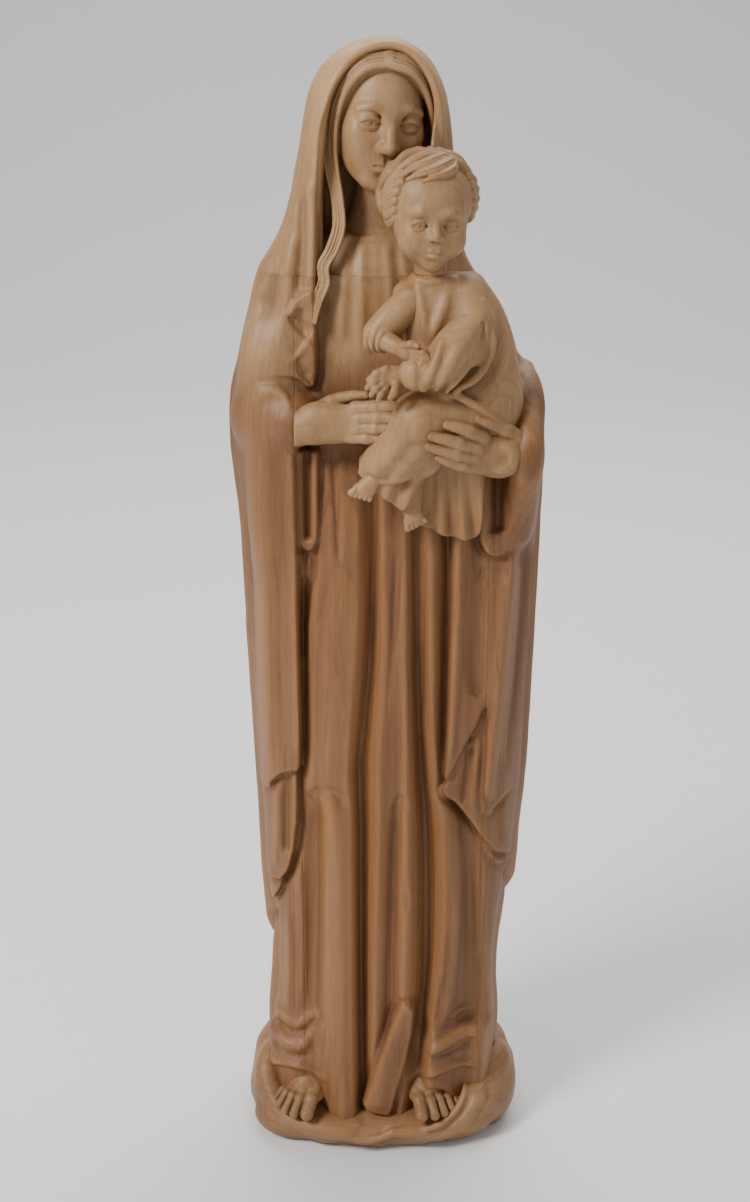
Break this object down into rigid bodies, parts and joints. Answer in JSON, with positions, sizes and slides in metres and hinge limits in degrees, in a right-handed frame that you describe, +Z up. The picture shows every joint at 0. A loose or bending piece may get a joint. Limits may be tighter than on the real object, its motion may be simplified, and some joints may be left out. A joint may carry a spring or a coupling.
{
  "type": "madonna statue",
  "caption": "Carved wooden Madonna holding the Child on the left arm, in a long veil and draped mantle, barefoot on a cloud-shaped plinth with a flat underside",
  "frame": {"origin": "mouth of the bench-screw hole, on the flat underside of the plinth", "axes": "+Z up through the crown of the veil, -Y out of the figure's front, +X towards the figure's left arm, where the Child sits"},
  "size_m": [0.2053, 0.1538, 0.78],
  "materials": {
    "stained_wood": "satin",
    "pale_wood": "satin",
    "dowel_wood": "matte"
  },
  "bodies": {
    "root": {"plinth": "stained_wood", "gown_block": "stained_wood", "right_mantle_block": "stained_wood", "left_mantle_block": "stained_wood", "back_board": "stained_wood", "veil": "pale_wood", "head": "pale_wood", "right_hand": "pale_wood", "left_hand": "pale_wood", "right_foot": "stained_wood", "left_foot": "stained_wood", "child_body": "pale_wood", "child_head": "pale_wood", "child_right_arm": "pale_wood", "child_left_arm": "pale_wood", "child_right_foot": "pale_wood", "child_left_foot": "pale_wood", "plinth_dowels": "dowel_wood", "head_dowel": "dowel_wood", "hand_dowels": "dowel_wood", "child_dowels": "dowel_wood", "child_head_dowel": "dowel_wood", "child_pegs": "dowel_wood"}
  },
  "joints": []
}
